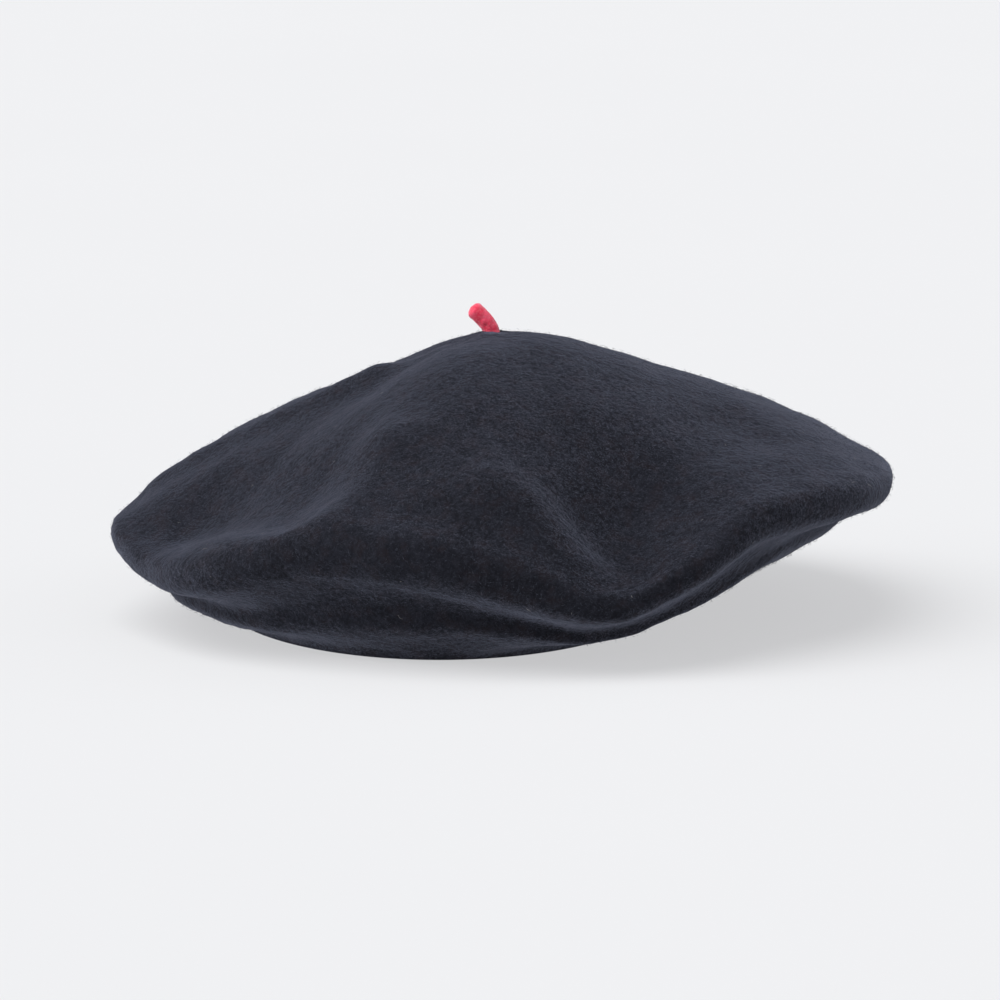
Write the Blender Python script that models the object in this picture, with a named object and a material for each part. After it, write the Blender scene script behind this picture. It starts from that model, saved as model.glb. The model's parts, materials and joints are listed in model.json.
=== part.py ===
"""A felt beret standing on its head opening: a seamless shell, its stem, lining and leather sweatband.

Units are metres, +Z is up, +X is to the wearer's side on which the crown hangs over, and the opening
lies flat on Z = 0. Tables are in millimetres and are scaled once, in the function that reads them.
"""

import math

import bpy
import numpy as np

MM = 0.001
GAP = 0.3  # clearance between neighbouring pieces, mm

# The shell, as a solid of flowing sections round the stem. Millimetres and degrees.
APEX = np.array((-2.8, 4.0, 93.5))  # centre of the stem hole, on the outer face
STEM_HOLE_RADIUS = 3.0
OPENING_CENTRE_X = -20.0
OPENING_CENTRE_Y = 6.0
OPENING_HALF_WIDTH = 72.0
OPENING_HALF_DEPTH = 95.0
OPENING_EGG = 4.5  # how much wider than that it is towards the back, and narrower towards the front
FELT_THICKNESS = 2.6
FOOT_BULGE = 0.66  # how far the bulge above the foot stands out, from the opening to the hollow
FOOT_BULGE_SWING = 0.08  # how much less than that it is towards FOOT_SLACK_AZIMUTH
FOOT_SLACK_AZIMUTH = 330.0
CROWN_TILT = 8.0  # how much higher the crown's broad shape is at +X than in the middle
CROWN_LEVEL = 37.0
CROWN_BLEND = 2.1  # how late on the way to the rim the crown takes up the rim's own height
CROWN_STEPS = (0.10, 0.26, 0.46, 0.66, 0.84)  # fractions of the way from the apex to the rim

# azimuth, rim radius, rim height, radius of the rolled edge, fullness above it, undercut below it
RIM = (
    (0, 127.2, 44.8, 8.5, 1.42, 0.6),
    (25, 129, 42, 9, 1.4, 0.7),
    (50, 126, 36, 9, 1.35, 0.7),
    (75, 120, 42, 9, 1.35, 0.7),
    (100, 121, 38, 9, 1.3, 0.7),
    (125, 126, 38, 9, 1.3, 0.7),
    (150, 122, 35, 9, 1.24, 0.7),
    (172, 121.5, 31, 7.5, 1.12, 0.6),
    (190, 128, 29.8, 7.4, 1.08, 0.5),
    (206, 126.5, 24.3, 7.6, 1.1, 0.4),
    (222, 127, 28, 9, 1.2, 0.3),
    (240, 121, 38, 10, 1.3, 0.3),
    (258, 118, 37.5, 12, 1.35, 0.4),
    (272, 119.5, 31, 11, 1.35, 0.5),
    (286, 124, 22.5, 7, 1.35, 0.6),
    (299, 125, 32, 8, 1.35, 0.7),
    (314, 122, 45, 9, 1.4, 0.7),
    (335, 126.2, 47.1, 9.0, 1.43, 0.6),
)
# azimuth, radius and height of the hollow under the rolled edge, height of the bulge below it
WAIST = (
    (0, 117, 37.5, 17.5),
    (45, 106, 25, 10),
    (90, 111, 26, 8.6),
    (115, 113, 25, 7.5),
    (138, 113, 24, 6.8),
    (170, 110, 17, 5),
    (190, 113, 14, 4.4),
    (206, 109, 13.5, 4.2),
    (222, 110, 13.5, 4.7),
    (245, 109, 17.5, 7.4),
    (268, 107, 17, 9),
    (288, 104, 11.5, 6.2),
    (305, 106, 19, 9.8),
    (330, 111, 34.5, 16.6),
)
# Soft ridges and valleys of the crown, each along a line on plan: start x, y, end x, y, half width, lift
FOLDS = (
    (36, -98, 45, -80, 11, -6),
    (47, -91, 74, -38, 18, -6.5),
    (38, -30, 44, -60, 24, -2),
    (-3, -98, 26, -111, 8, 4),
    (78, -97, 56, -108, 9, 3),
    (4, -14, -2, -48, 30, 3),
    (-98, -46, -52, -82, 15, -9),
    (-58, -106, -38, -72, 9, 6),
    (-38, -72, -24, -38, 15, 2),
    (-112, -50, -84, -90, 7, 3),
    (-112, 6, -44, 0, 6.5, 5),
    (-104, 28, -58, 22, 8, -4),
    (-100, 58, -66, 58, 14, 2.5),
    (54, 92, 40, 48, 15, -6),
    (-20, 100, -14, 50, 16, -5),
)

# The inner pieces, mm
LINING_THICKNESS = 0.6
LINING_OFFSET = FELT_THICKNESS + 1.2  # from the felt's outer face to the lining's outer face
BAND_HEIGHT = 28.0
BAND_THICKNESS = 1.2
BAND_OUT = FELT_THICKNESS + GAP + 0.1  # from the opening's outline to the band's outer face
BAND_IN = BAND_OUT + BAND_THICKNESS
BAND_JOIN_AZIMUTH = 90.0
BAND_JOIN_GAP = 0.8
THREAD_RADIUS = 0.35
STEM_RADIUS = 2.6
STEM_TIP_RADIUS = 2.8
STEM_LENGTH = 6.9  # from the pivot to the centre of the round tip
STEM_LEAN = 50.0  # degrees from upright, towards -X
STEM_PIVOT_RISE = 1.6  # above the felt's outer face
ROOT_TOP = -1.4  # below the felt's outer face, as are the next four
ROOT_FLANGE_TOP = -3.6
ROOT_FLANGE_FOOT = -4.8
ROOT_FLANGE_RADIUS = 5.0
ROOT_STITCH_LEVEL = -4.4
BOW_AZIMUTH = 72.0
BOW_LEVEL = 15.0
BOW_DEPTH = 2.8  # from the sweatband's inner face to the middle of the bow
BOW_HALF_SPAN = 13.0
RIBBON_WIDTH = 6.0
RIBBON_THICKNESS = 0.5
BOW_WAIST = 0.55  # half the loops' depth at the knot
BOW_FULLNESS = 1.3  # how much deeper the loops are at their ends
KNOT_HALF_DEPTH = 2.1
KNOT_HALF_HEIGHT = RIBBON_WIDTH / 2 + 1.2
KNOT_WIDTH = 4.0
TAB_AZIMUTH = 112.0
TAB_WIDTH = 18.0
TAB_LEVELS = (13.0, 25.0)
TAB_THICKNESS = 0.5
TAB_STITCH_DROP = 2.0  # from the tab's top edge to its stitching
TAB_STITCH_SWING = 0.5
SEAM_RADIUS = 0.5
SEAM_DEPTH = LINING_OFFSET + 0.6
HEM_WAVES = 44
HEM_LEVELS = (3.0, BAND_HEIGHT - 1.5)  # of the sweatband's and the lining's stitching
HEM_SWINGS = (1.0, 0.6)
STITCH_INSET = BAND_IN + GAP + THREAD_RADIUS + 0.1
JOIN_STITCH_HALF_WIDTH = 2.6
JOIN_STITCH_LEVELS = (6.0, 22.0)
ROOT_CHAMFER = 0.3
ROOT_STITCH_RADIUS = ROOT_FLANGE_RADIUS + GAP + THREAD_RADIUS + 0.2
LINING_DROP = 3.0  # how much further down the lining hangs under the stem

AROUND = 48
DOWN = 25
SEAM_ROW = 10  # the lining's seam lies just above this row of the shell, on the shoulder
LINING_FOOT_ROW = 21


def clear_scene():
    for old in list(bpy.data.objects):
        bpy.data.objects.remove(old, do_unlink=True)


def material(name, colour, roughness, metallic=0.0):
    made = bpy.data.materials.new(name)
    made.use_nodes = True
    shader = made.node_tree.nodes["Principled BSDF"]
    shader.inputs["Base Color"].default_value = (*colour, 1.0)
    shader.inputs["Roughness"].default_value = roughness
    shader.inputs["Metallic"].default_value = metallic
    return made


def mesh_object(name, points_mm, faces, look):
    mesh = bpy.data.meshes.new(name)
    mesh.from_pydata((np.asarray(points_mm) * MM).tolist(), [], faces)
    mesh.update()
    mesh.shade_smooth()
    mesh.materials.append(look)
    made = bpy.data.objects.new(name, mesh)
    bpy.context.collection.objects.link(made)
    return made


def around(table, azimuth):
    """The table's columns at each azimuth, on a smooth closed curve through its rows."""
    rows = np.array(table, float)
    angle = np.concatenate([rows[-2:, 0] - 360, rows[:, 0], rows[:3, 0] + 360])
    value = np.concatenate([rows[-2:, 1:], rows[:, 1:], rows[:3, 1:]])
    turned = np.mod(azimuth, 360.0)
    i = np.clip(np.searchsorted(angle, turned, side="right") - 1, 1, len(angle) - 3)
    step = (angle[i + 1] - angle[i])[:, None]
    t = (turned - angle[i])[:, None] / step
    slope = (value[i + 1] - value[i - 1]) / (angle[i + 1] - angle[i - 1])[:, None] * step
    next_slope = (value[i + 2] - value[i]) / (angle[i + 2] - angle[i])[:, None] * step
    start = (2 * t**3 - 3 * t**2 + 1) * value[i] + (t**3 - 2 * t**2 + t) * slope
    end = (3 * t**2 - 2 * t**3) * value[i + 1] + (t**3 - t**2) * next_slope
    return (start + end).T


def ring(radius, height, azimuth, centre_x=0.0):
    angle = np.radians(azimuth)
    across = centre_x + radius * np.cos(angle)
    return np.stack([across, radius * np.sin(angle), height + 0 * angle], axis=-1)


def opening(azimuth, inset=0.0, height=0.0):
    """The opening's oval outline, moved in by inset."""
    angle = np.radians(azimuth)
    half_width = OPENING_HALF_WIDTH + OPENING_EGG * np.sin(angle) - inset
    across = OPENING_CENTRE_X + half_width * np.cos(angle)
    deep = OPENING_CENTRE_Y + (OPENING_HALF_DEPTH - inset) * np.sin(angle)
    return np.stack([across, deep, height + 0 * angle], axis=-1)


def guide_rings(azimuth):
    """The shell's guiding rings, from the stem hole over the rim to the opening."""
    radius, height, roll, fullness, undercut = around(RIM, azimuth)
    waist_radius, waist_height, foot_height = around(WAIST, azimuth)
    broad = CROWN_LEVEL + CROWN_TILT * np.cos(np.radians(azimuth))
    rings = [APEX + ring(STEM_HOLE_RADIUS, 0.0, azimuth)]
    for part in CROWN_STEPS:
        edge = ring(radius, height, azimuth)
        level = broad + (height - broad) * part**CROWN_BLEND + roll
        row = APEX * (1 - part) + edge * part
        row[:, 2] = level + (APEX[2] - level) * (1 - part**fullness)
        rings.append(row)
    rings.append(ring(radius - 0.55 * roll, height + 0.85 * roll, azimuth))
    rings.append(ring(radius + 0.4 * roll, height + 0.6 * roll, azimuth))
    rings.append(ring(radius + 0.4 * roll, height - 0.6 * roll, azimuth))
    rings.append(ring(radius - undercut * roll, height - roll, azimuth))
    rings.append(ring(waist_radius - 1, waist_height + 1, azimuth))
    rings.append(ring(waist_radius, waist_height - 5, azimuth))
    bulge = FOOT_BULGE - FOOT_BULGE_SWING * np.cos(np.radians(azimuth - FOOT_SLACK_AZIMUTH))[:, None]
    foot = opening(azimuth) * (1 - bulge) + ring(waist_radius, 0, azimuth) * bulge
    foot[:, 2] = foot_height
    rings.append(foot)
    rings.append(opening(azimuth, -3, 3.5))
    rings.append(opening(azimuth, -0.5, 1.2))
    rings.append(opening(azimuth))
    return np.array(rings)


def spline_weights(count, t):
    """Weights of a clamped cubic B-spline's guide points at each t in 0 to 1."""
    knots = np.concatenate([np.zeros(3), np.linspace(0, 1, count - 2), np.ones(3)])
    t = np.clip(t, 0, 1 - 1e-9)
    weights = [(t >= a) & (t < b) for a, b in zip(knots[:-1], knots[1:])]
    for degree in (1, 2, 3):
        risen = []
        for i in range(len(weights) - 1):
            up = knots[i + degree] - knots[i]
            down = knots[i + degree + 1] - knots[i + 1]
            value = np.zeros_like(t)
            if up > 0:
                value += (t - knots[i]) / up * weights[i]
            if down > 0:
                value += (knots[i + degree + 1] - t) / down * weights[i + 1]
            risen.append(value)
        weights = risen
    return np.array(weights).T


def eased(value, low, high):
    share = np.clip((value - low) / (high - low), 0, 1)
    return share * share * (3 - 2 * share)


def fold_lift(x, y, fold):
    x0, y0, x1, y1, width, lift = fold
    dx, dy = x1 - x0, y1 - y0
    along = np.clip(((x - x0) * dx + (y - y0) * dy) / (dx * dx + dy * dy), 0, 1)
    away = np.hypot(x - x0 - along * dx, y - y0 - along * dy)
    return lift * np.exp(-0.5 * (away / width) ** 2)


def shell_points(azimuth, t):
    """Points of the felt's outer face in mm, a row for each t: 0 at the stem hole, 1 at the opening."""
    rings = guide_rings(azimuth)
    points = np.einsum("mk,knj->mnj", spline_weights(len(rings), t), rings)
    from_stem = np.hypot(points[..., 0] - APEX[0], points[..., 1] - APEX[1])
    crown = (1 - eased(t, 0.36, 0.50))[:, None] * eased(from_stem, 4, 30)
    points[..., 2] += crown * sum(fold_lift(points[..., 0], points[..., 1], fold) for fold in FOLDS)
    return points


def shell_normals(azimuth, t):
    """Unit normals of the outer face, level at the opening's edge and upright at the stem hole."""
    step = 0.004
    turn = 1.0
    down = shell_points(azimuth, np.clip(t + step, 0, 1)) - shell_points(azimuth, np.clip(t - step, 0, 1))
    side = shell_points(azimuth + turn, t) - shell_points(azimuth - turn, t)
    normal = np.cross(down, side)
    normal[t >= 1 - 1e-6, :, 2] = 0
    normal[t <= 1e-6] = (0, 0, 1)
    return normal / np.linalg.norm(normal, axis=2, keepdims=True)


def shell_layer(azimuth, t, depth):
    """The outer face moved in by depth, which may be one value for each row."""
    moved = shell_points(azimuth, t) - shell_normals(azimuth, t) * np.reshape(depth, (-1, 1, 1))
    moved[t >= 1 - 1e-6, :, 2] = 0
    return moved


def grid_faces(rows, columns, first=0, flip=False):
    """Triangles between rings of points, always split along the same diagonal, to keep layers parallel."""
    faces = []
    for i in range(rows - 1):
        a, b = first + i * columns, first + (i + 1) * columns
        for j in range(columns):
            k = (j + 1) % columns
            pair = ((a + j, b + j, b + k), (a + j, b + k, a + k))
            faces += [face[::-1] for face in pair] if flip else pair
    return faces


def skin(name, outer, inner, look, closed_top=False):
    """One closed body between two layers of rings; closed_top fills the first rings with a disc."""
    rows, columns, _ = outer.shape
    points = np.concatenate([outer.reshape(-1, 3), inner.reshape(-1, 3)])
    under = rows * columns
    faces = grid_faces(rows, columns) + grid_faces(rows, columns, under, flip=True)
    last = (rows - 1) * columns
    for j in range(columns):
        k = (j + 1) % columns
        faces.append((last + k, last + j, under + last + j, under + last + k))
        if not closed_top:
            faces.append((j, k, under + k, under + j))
    if closed_top:
        faces.append(tuple(range(columns)))
        faces.append(tuple(range(under + columns - 1, under - 1, -1)))
    return mesh_object(name, points, faces, look)


def thread(name, centres, radius, look, closed=True):
    """A length of thread along centres, in mm, closed into a loop or cut off square at both ends."""
    curve = bpy.data.curves.new(name, "CURVE")
    curve.dimensions = "3D"
    curve.bevel_depth = radius * MM
    curve.bevel_resolution = 0
    curve.resolution_u = 1
    curve.use_fill_caps = not closed
    line = curve.splines.new("POLY")
    line.points.add(len(centres) - 1)
    line.use_cyclic_u = closed
    for point, centre in zip(line.points, np.asarray(centres) * MM):
        point.co = (*centre, 1.0)
    curve.materials.append(look)
    made = bpy.data.objects.new(name, curve)
    bpy.context.collection.objects.link(made)
    return made


def turned(name, profile, look, sides=16):
    """A solid of revolution about its own +Z, from a profile of (radius, height) in mm, foot first.

    The first and last points lie on the axis.
    """
    angles = np.radians(full_turn(sides))
    points = [(0.0, 0.0, profile[0][1])]
    for radius, height in profile[1:-1]:
        points += [(radius * math.cos(a), radius * math.sin(a), height) for a in angles]
    points.append((0.0, 0.0, profile[-1][1]))
    rows = len(profile) - 2
    faces = grid_faces(rows, sides, first=1, flip=True)
    top = len(points) - 1
    last = 1 + (rows - 1) * sides
    for j in range(sides):
        k = (j + 1) % sides
        faces.append((0, 1 + k, 1 + j))
        faces.append((top, last + j, last + k))
    return mesh_object(name, points, faces, look)


def full_turn(count):
    return np.arange(count) * 360.0 / count


def felt_body(look):
    azimuth = full_turn(AROUND)
    t = np.linspace(0, 1, DOWN)
    return skin("felt_body", shell_points(azimuth, t), shell_layer(azimuth, t, FELT_THICKNESS), look)


def lining_depth(azimuth, t):
    """The lining hangs a little lower under the stem's inner end."""
    points = shell_points(azimuth, t)
    from_stem = np.hypot(points[..., 0] - APEX[0], points[..., 1] - APEX[1]).mean(axis=1)
    return LINING_OFFSET + LINING_DROP * (1 - eased(from_stem, 8, 24))


def lining_crown(look):
    azimuth = full_turn(AROUND)
    t = np.linspace(0, 1, DOWN)[:SEAM_ROW]
    depth = lining_depth(azimuth, t)
    return skin(
        "lining_crown",
        shell_layer(azimuth, t, depth),
        shell_layer(azimuth, t, depth + LINING_THICKNESS),
        look,
        closed_top=True,
    )


def lining_side(look):
    """The lining below the seam: it cuts across the inside of the rim and runs down behind the sweatband."""
    azimuth = full_turn(AROUND)
    rows = [SEAM_ROW, SEAM_ROW + 1, *range(SEAM_ROW + 4, LINING_FOOT_ROW + 1)]
    t = np.linspace(0, 1, DOWN)[rows]
    inner = shell_layer(azimuth, t, LINING_OFFSET + LINING_THICKNESS)
    return skin("lining_side", shell_layer(azimuth, t, LINING_OFFSET), inner, look)


def lining_seam(look):
    """The sewn ridge where the lining's crown and side meet."""
    azimuth = full_turn(AROUND)
    t = np.linspace(0, 1, DOWN)
    between = np.array([(t[SEAM_ROW - 1] + t[SEAM_ROW]) / 2])
    return thread("lining_seam", shell_layer(azimuth, between, SEAM_DEPTH)[0], SEAM_RADIUS, look)


def strip(name, azimuth, corners, look):
    """A bent strip along the opening's outline, its section given by (inset, level) corners."""
    section = np.array([opening(azimuth, inset, level) for inset, level in corners])
    points = section.transpose(1, 0, 2).reshape(-1, 3)
    faces = []
    for i in range(len(azimuth) - 1):
        for j in range(4):
            k = (j + 1) % 4
            faces.append((4 * i + j, 4 * i + 4 + j, 4 * i + 4 + k, 4 * i + k))
    end = 4 * (len(azimuth) - 1)
    faces.append((0, 1, 2, 3))
    faces.append((end + 3, end + 2, end + 1, end))
    return mesh_object(name, points, faces, look)


def sweatband(look):
    """A leather strip bent to the opening, its ends meeting at the back."""
    turn = math.degrees(BAND_JOIN_GAP / OPENING_HALF_WIDTH)
    start = BAND_JOIN_AZIMUTH + turn / 2
    azimuth = np.linspace(start, start + 360 - turn, 73)
    corners = ((BAND_OUT, 0.0), (BAND_OUT, BAND_HEIGHT), (BAND_IN, BAND_HEIGHT), (BAND_IN, 0.0))
    return strip("sweatband", azimuth, corners, look)


def wavy_ring(name, inset, level, swing, waves, look, steps=4):
    """A zigzag of thread round the sweatband's inner face."""
    azimuth = full_turn(waves * steps)
    wave = np.sin(np.radians(azimuth * waves))
    centres = opening(azimuth, inset)
    centres[:, 2] = level + swing * wave
    return thread(name, centres, THREAD_RADIUS, look)


def flat_loop(name, route, width, thickness, across, look):
    """A closed band of ribbon along route, width measured along across."""
    route = np.asarray(route, float)
    ahead = np.roll(route, -1, axis=0) - np.roll(route, 1, axis=0)
    across = np.asarray(across, float)
    out = np.cross(ahead, across)
    out /= np.linalg.norm(out, axis=1, keepdims=True)
    half = across * width / 2
    corners = (out * thickness / 2 + half, out * thickness / 2 - half)
    corners += (-out * thickness / 2 - half, -out * thickness / 2 + half)
    points = np.stack([route + corner for corner in corners], axis=1).reshape(-1, 3)
    count = len(route)
    faces = []
    for i in range(count):
        n = (i + 1) % count
        for j in range(4):
            k = (j + 1) % 4
            faces.append((4 * i + j, 4 * i + k, 4 * n + k, 4 * n + j))
    return mesh_object(name, points, faces, look)


def bow_point(aside, depth, height=0.0):
    """A point of the bow: aside along the sweatband, depth from its face, height above its middle."""
    turn = math.degrees(aside / OPENING_HALF_WIDTH)
    return opening(np.array([BOW_AZIMUTH + turn]), BAND_IN + depth, BOW_LEVEL + height)[0]


def bow_ribbon(look):
    """Two loops of ribbon side by side as one closed band, drawn together at the knot."""
    route = []
    for angle in np.radians(full_turn(40)):
        swell = BOW_WAIST + BOW_FULLNESS * abs(math.cos(angle)) ** 0.8
        route.append(bow_point(BOW_HALF_SPAN * math.cos(angle), BOW_DEPTH + swell * math.sin(angle)))
    return flat_loop("bow_ribbon", route, RIBBON_WIDTH, RIBBON_THICKNESS, (0.0, 0.0, 1.0), look)


def squared(value):
    """Pushes a sine or cosine out towards a rounded square."""
    return math.copysign(math.sqrt(abs(value)), value)


def bow_knot(look):
    """The short band wrapped round the middle of the bow."""
    route = []
    for angle in np.radians(full_turn(20)):
        depth = BOW_DEPTH + KNOT_HALF_DEPTH * squared(math.cos(angle))
        route.append(bow_point(0.0, depth, KNOT_HALF_HEIGHT * squared(math.sin(angle))))
    along = bow_point(1.0, BOW_DEPTH) - bow_point(-1.0, BOW_DEPTH)
    return flat_loop("bow_knot", route, KNOT_WIDTH, RIBBON_THICKNESS, along / np.linalg.norm(along), look)


def size_tab(look):
    """A blank woven tab lying against the sweatband."""
    half_turn = math.degrees(TAB_WIDTH / 2 / OPENING_HALF_DEPTH)
    azimuth = np.linspace(TAB_AZIMUTH - half_turn, TAB_AZIMUTH + half_turn, 7)
    low, high = TAB_LEVELS
    back = BAND_IN + GAP
    front = back + TAB_THICKNESS
    corners = ((back, low), (back, high), (front, high), (front, low))
    return strip("size_tab", azimuth, corners, look)


def size_tab_stitching(look):
    """Running stitch across the tab's upper edge, on its face."""
    half_turn = math.degrees(TAB_WIDTH / 2 / OPENING_HALF_DEPTH) - 1
    azimuth = np.linspace(TAB_AZIMUTH - half_turn, TAB_AZIMUTH + half_turn, 25)
    inset = BAND_IN + GAP + TAB_THICKNESS + GAP + THREAD_RADIUS
    centres = opening(azimuth, inset, TAB_LEVELS[1] - TAB_STITCH_DROP)
    centres[:, 2] += TAB_STITCH_SWING * np.sin(np.arange(25) * math.pi / 2)
    return thread("size_tab_stitching", centres, THREAD_RADIUS, look, closed=False)


def sweatband_join_stitching(look):
    """Zigzag lacing that draws the sweatband's ends together, on the inner face."""
    steps = 16
    swing = math.degrees(JOIN_STITCH_HALF_WIDTH / OPENING_HALF_WIDTH)
    side = np.where(np.arange(steps) % 2 == 0, swing, -swing)
    centres = opening(BAND_JOIN_AZIMUTH + side, STITCH_INSET)
    centres[:, 2] = np.linspace(*JOIN_STITCH_LEVELS, steps)
    return thread("sweatband_join_stitching", centres, THREAD_RADIUS, look, closed=False)


def stem(look):
    """The red stem, round at both ends, its origin on the axis that it bends about."""
    profile = [(0.0, -STEM_RADIUS)]
    for angle in np.radians((30, 60, 90)):
        profile.append((STEM_RADIUS * math.sin(angle), -STEM_RADIUS * math.cos(angle)))
    for angle in np.radians((90, 60, 30)):
        profile.append((STEM_TIP_RADIUS * math.sin(angle), STEM_LENGTH + STEM_TIP_RADIUS * math.cos(angle)))
    profile.append((0.0, STEM_LENGTH + STEM_TIP_RADIUS))
    made = turned("stem", profile, look)
    made.location = (APEX + (0, 0, STEM_PIVOT_RISE)) * MM
    made.rotation_euler = (0, math.radians(-STEM_LEAN), 0)
    return made


def stem_root(look):
    """The stem's fixed inner end: it fills the hole and spreads under the felt."""
    neck = STEM_HOLE_RADIUS - GAP
    profile = (
        (0.0, ROOT_FLANGE_FOOT),
        (ROOT_FLANGE_RADIUS - ROOT_CHAMFER, ROOT_FLANGE_FOOT),
        (ROOT_FLANGE_RADIUS, ROOT_FLANGE_FOOT + ROOT_CHAMFER),
        (ROOT_FLANGE_RADIUS, ROOT_FLANGE_TOP),
        (neck, ROOT_FLANGE_TOP),
        (neck, ROOT_TOP),
        (0.0, ROOT_TOP),
    )
    made = turned("stem_root", profile, look)
    made.location = APEX * MM
    return made


def stem_stitching(look):
    """The thread that whips the stem's inner end to the felt."""
    centres = APEX + ring(ROOT_STITCH_RADIUS, ROOT_STITCH_LEVEL, full_turn(24))
    return thread("stem_stitching", centres, THREAD_RADIUS, look)


def build():
    clear_scene()
    felt = material("navy_felt", (0.012, 0.014, 0.026), 0.95)
    red = material("red_felt", (0.55, 0.03, 0.06), 0.9)
    satin = material("black_satin", (0.02, 0.02, 0.028), 0.45)
    leather = material("brown_leather", (0.10, 0.045, 0.02), 0.5)
    cotton = material("navy_thread", (0.03, 0.03, 0.05), 0.8)
    ribbon = material("black_ribbon", (0.015, 0.015, 0.018), 0.6)
    label = material("white_label", (0.7, 0.68, 0.62), 0.7)
    felt_body(felt)
    stem(red)
    stem_root(red)
    stem_stitching(cotton)
    lining_crown(satin)
    lining_side(satin)
    lining_seam(satin)
    wavy_ring("lining_stitching", STITCH_INSET, HEM_LEVELS[1], HEM_SWINGS[1], HEM_WAVES, cotton)
    sweatband(leather)
    wavy_ring("sweatband_stitching", STITCH_INSET, HEM_LEVELS[0], HEM_SWINGS[0], HEM_WAVES, cotton)
    sweatband_join_stitching(cotton)
    bow_ribbon(ribbon)
    bow_knot(ribbon)
    size_tab(label)
    size_tab_stitching(cotton)


build()
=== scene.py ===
import json
import math

import bpy
import numpy as np
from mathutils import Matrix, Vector

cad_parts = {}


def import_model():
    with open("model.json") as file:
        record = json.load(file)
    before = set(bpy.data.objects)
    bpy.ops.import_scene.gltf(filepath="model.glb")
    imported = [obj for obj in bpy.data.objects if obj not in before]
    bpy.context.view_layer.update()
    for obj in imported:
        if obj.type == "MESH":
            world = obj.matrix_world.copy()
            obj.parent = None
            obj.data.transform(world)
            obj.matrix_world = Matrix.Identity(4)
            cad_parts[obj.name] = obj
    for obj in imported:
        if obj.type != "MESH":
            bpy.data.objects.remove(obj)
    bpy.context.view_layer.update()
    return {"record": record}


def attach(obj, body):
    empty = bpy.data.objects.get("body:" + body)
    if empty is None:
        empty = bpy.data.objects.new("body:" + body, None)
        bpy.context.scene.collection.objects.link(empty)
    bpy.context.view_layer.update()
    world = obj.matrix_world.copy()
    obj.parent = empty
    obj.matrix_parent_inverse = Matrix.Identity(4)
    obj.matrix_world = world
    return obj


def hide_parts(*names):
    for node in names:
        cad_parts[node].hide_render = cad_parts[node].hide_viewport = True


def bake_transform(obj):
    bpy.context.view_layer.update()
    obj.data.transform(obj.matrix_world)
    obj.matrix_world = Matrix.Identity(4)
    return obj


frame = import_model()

# A navy felt beret with a red stem, +Z up. Its pieces are worked out in millimetres, and add_mesh turns
# them into metres. The floor, the camera and the looks' bumps and noises are in metres.
MM = 0.001
GAP = 0.3  # the least that is left between the felt, the sweatband and the tab

JOINT = frame["record"]["behaviour"]["joints"][0]

# The shell's shape, the same as the CAD felt's, here with a fine surface on it
STEM_PIVOT_RISE = 1.6  # of the stem's joint above the felt's outer face
PIVOT = np.array(JOINT["pos_m"]) / MM
APEX = PIVOT - (0, 0, STEM_PIVOT_RISE)  # centre of the stem hole, on the outer face
STEM_HOLE_RADIUS = 3.0
OPENING_CENTRE_X = -20.0
OPENING_CENTRE_Y = 6.0
OPENING_HALF_WIDTH = 72.0
OPENING_HALF_DEPTH = 95.0
OPENING_EGG = 4.5  # how much wider than that it is towards the back, and narrower towards the front
FELT_THICKNESS = 2.6
FOOT_BULGE = 0.66  # how far the bulge above the foot stands out, from the opening to the hollow
FOOT_BULGE_SWING = 0.08  # how much less than that it is towards FOOT_SLACK_AZIMUTH
FOOT_SLACK_AZIMUTH = 330.0
CROWN_TILT = 8.0  # how much higher the crown's broad shape is at +X than in the middle
CROWN_LEVEL = 37.0
CROWN_BLEND = 2.1  # how late on the way to the rim the crown takes up the rim's own height
CROWN_STEPS = (0.10, 0.26, 0.46, 0.66, 0.84)  # fractions of the way from the apex to the rim

# azimuth, rim radius, rim height, radius of the rolled edge, fullness above it, undercut below it
RIM = (
    (0, 127.2, 44.8, 8.5, 1.42, 0.6),
    (25, 129, 42, 9, 1.4, 0.7),
    (50, 126, 36, 9, 1.35, 0.7),
    (75, 120, 42, 9, 1.35, 0.7),
    (100, 121, 38, 9, 1.3, 0.7),
    (125, 126, 38, 9, 1.3, 0.7),
    (150, 122, 35, 9, 1.24, 0.7),
    (172, 121.5, 31, 7.5, 1.12, 0.6),
    (190, 128, 29.8, 7.4, 1.08, 0.5),
    (206, 126.5, 24.3, 7.6, 1.1, 0.4),
    (222, 127, 28, 9, 1.2, 0.3),
    (240, 121, 38, 10, 1.3, 0.3),
    (258, 118, 37.5, 12, 1.35, 0.4),
    (272, 119.5, 31, 11, 1.35, 0.5),
    (286, 124, 22.5, 7, 1.35, 0.6),
    (299, 125, 32, 8, 1.35, 0.7),
    (314, 122, 45, 9, 1.4, 0.7),
    (335, 126.2, 47.1, 9.0, 1.43, 0.6),
)
# azimuth, radius and height of the hollow under the rolled edge, height of the bulge below it
WAIST = (
    (0, 117, 37.5, 17.5),
    (45, 106, 25, 10),
    (90, 111, 26, 8.6),
    (115, 113, 25, 7.5),
    (138, 113, 24, 6.8),
    (170, 110, 17, 5),
    (190, 113, 14, 4.4),
    (206, 109, 13.5, 4.2),
    (222, 110, 13.5, 4.7),
    (245, 109, 17.5, 7.4),
    (268, 107, 17, 9),
    (288, 104, 11.5, 6.2),
    (305, 106, 19, 9.8),
    (330, 111, 34.5, 16.6),
)
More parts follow.
